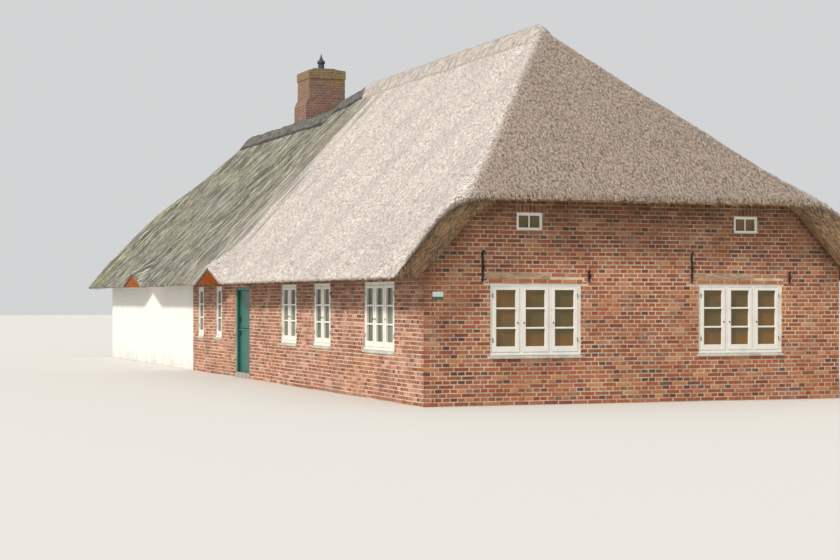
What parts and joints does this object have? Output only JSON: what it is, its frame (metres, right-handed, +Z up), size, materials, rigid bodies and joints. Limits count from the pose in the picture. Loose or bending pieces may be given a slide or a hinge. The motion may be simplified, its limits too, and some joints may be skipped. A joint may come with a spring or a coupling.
{
  "type": "thatched cottage",
  "caption": "Long low thatched cottage with half-hipped gables, brick walls, a whitewashed barn end, small-paned windows, a green stable door and a brick chimney.",
  "frame": {"origin": "on the ground, in the middle of the roof's plan", "axes": "+Z up, +Y along the ridge from the main gable to the barn end; the main gable faces -Y and the door is in the -X side"},
  "size_m": [8.68, 26.84, 8.1706],
  "materials": {
    "brick": "rough",
    "limewash": "rough",
    "reed": "rough",
    "mossy_reed": "rough",
    "ridge": "rough",
    "mossy_ridge": "rough",
    "white_paint": "satin",
    "green_paint": "satin",
    "oiled_board": "satin",
    "window_glass": "clear",
    "cement": "rough",
    "floor_tile": "matt",
    "zinc": "weathered",
    "iron": "rough"
  },
  "bodies": {
    "house": {"front_gable_wall": "brick", "rear_gable_wall": "limewash", "west_wall_front": "brick", "west_wall_over_door": "brick", "west_wall_middle": "brick", "west_wall_barn": "limewash", "east_wall_house": "brick", "east_wall_barn": "limewash", "floor": "floor_tile", "thatch_house_west": "reed", "thatch_house_east": "reed", "thatch_front_hip": "reed", "thatch_barn_west": "mossy_reed", "thatch_barn_east": "mossy_reed", "thatch_rear_hip": "mossy_reed", "ridge_cap_house": "ridge", "ridge_cap_barn": "mossy_ridge", "eyebrow_boards_1": "oiled_board", "eyebrow_boards_2": "oiled_board", "chimney_stack": "brick", "chimney_crown": "brick", "chimney_cowl": "zinc", "door_threshold": "cement", "door_jamb_near": "green_paint", "door_jamb_far": "green_paint", "door_head": "green_paint", "front_window_left": "white_paint", "front_window_left_glass": "window_glass", "front_window_right": "white_paint", "front_window_right_glass": "window_glass", "attic_window_left": "white_paint", "attic_window_left_glass": "window_glass", "attic_window_right": "white_paint", "attic_window_right_glass": "window_glass", "rear_window_left": "white_paint", "rear_window_left_glass": "window_glass", "rear_window_right": "white_paint", "rear_window_right_glass": "window_glass", "west_window_a": "white_paint", "west_window_a_glass": "window_glass", "west_window_b": "white_paint", "west_window_b_glass": "window_glass", "west_window_c": "white_paint", "west_window_c_glass": "window_glass", "west_window_d": "white_paint", "west_window_d_glass": "window_glass", "west_window_e": "white_paint", "west_window_e_glass": "window_glass", "east_window_a": "white_paint", "east_window_a_glass": "window_glass", "east_window_b": "white_paint", "east_window_b_glass": "window_glass", "east_window_c": "white_paint", "east_window_c_glass": "window_glass"},
    "lower_leaf": {"door_lower_leaf": "green_paint"},
    "upper_leaf": {"door_upper_leaf": "green_paint"}
  },
  "joints": [
    {"name": "lower_leaf_hinge", "type": "hinge", "parent": "house", "child": "lower_leaf", "pos_m": [-3.586, -2.444, 0], "axis": [0, 0, -1], "range_deg": [0, 100]},
    {"name": "upper_leaf_hinge", "type": "hinge", "parent": "house", "child": "upper_leaf", "pos_m": [-3.586, -2.444, 0], "axis": [0, 0, -1], "range_deg": [0, 100]}
  ]
}
